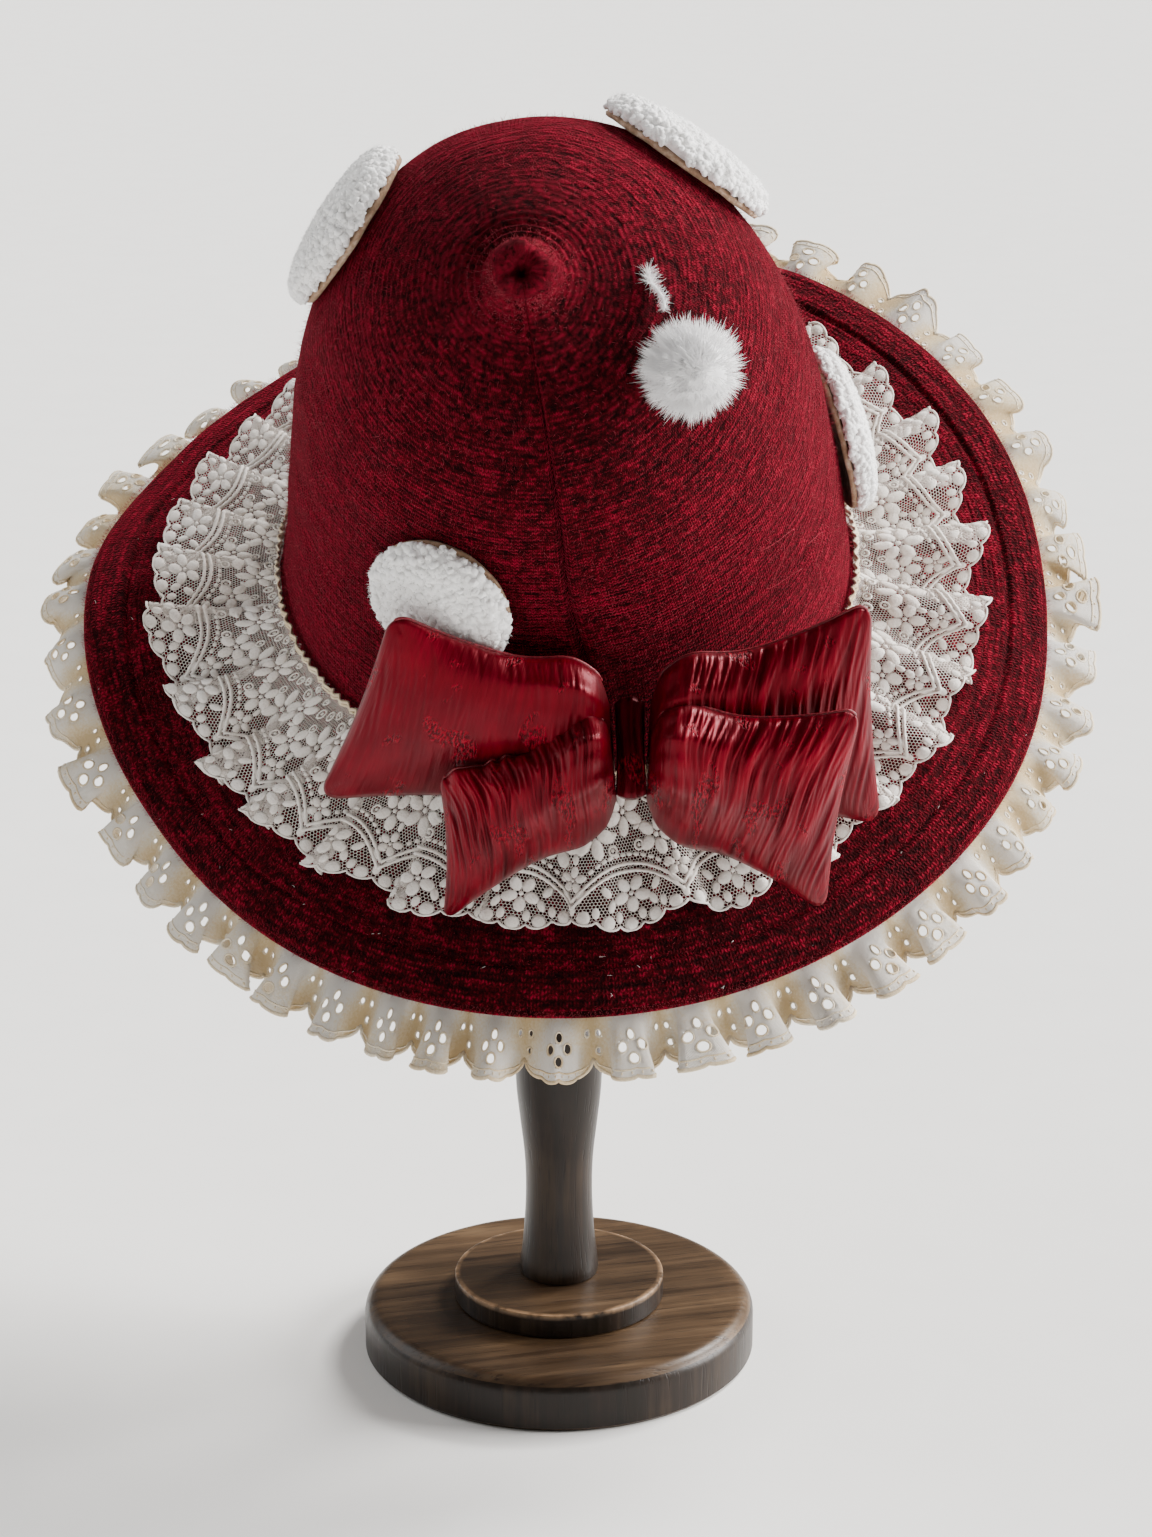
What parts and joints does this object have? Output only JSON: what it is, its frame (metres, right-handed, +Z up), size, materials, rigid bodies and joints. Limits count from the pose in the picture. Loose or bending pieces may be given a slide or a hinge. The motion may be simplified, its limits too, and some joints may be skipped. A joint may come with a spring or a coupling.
{
  "type": "knitted hat with lace, bow and pompom on a wooden hat stand",
  "caption": "Crimson knitted hat with a drooping brim, ivory lace ruffle, cream eyelet trim, padded satin bow, fleece spots and a fur pompom, leaning forward on a turned walnut stand.",
  "frame": {"origin": "centre of the underside of the stand's foot", "axes": "+Z up along the stand's post, the hat's front and bow face -Y, +X to the right seen from the front"},
  "size_m": [0.3943, 0.3572, 0.467],
  "materials": {
    "walnut": "satin",
    "crimson_knit": "matte",
    "ivory_lace": "matte",
    "cream_eyelet": "matte",
    "crimson_satin": "satin",
    "tan_backing": "matte",
    "white_fleece": "matte",
    "white_fur": "matte"
  },
  "bodies": {
    "root": {"stand_base": "walnut", "stand_riser": "walnut", "stand_post": "walnut", "stand_head": "walnut", "crown": "crimson_knit", "brim": "crimson_knit", "lace_ruffle": "ivory_lace", "eyelet_trim": "cream_eyelet", "bow_wing_upper_left": "crimson_satin", "bow_wing_upper_right": "crimson_satin", "bow_wing_lower_left": "crimson_satin", "bow_wing_lower_right": "crimson_satin", "bow_knot": "crimson_satin", "spot_backing_front": "tan_backing", "spot_fleece_front": "white_fleece", "spot_backing_left": "tan_backing", "spot_fleece_left": "white_fleece", "spot_backing_top": "tan_backing", "spot_fleece_top": "white_fleece", "spot_backing_right": "tan_backing", "spot_fleece_right": "white_fleece", "pompom": "white_fur", "pompom_cord": "white_fur"}
  },
  "joints": []
}
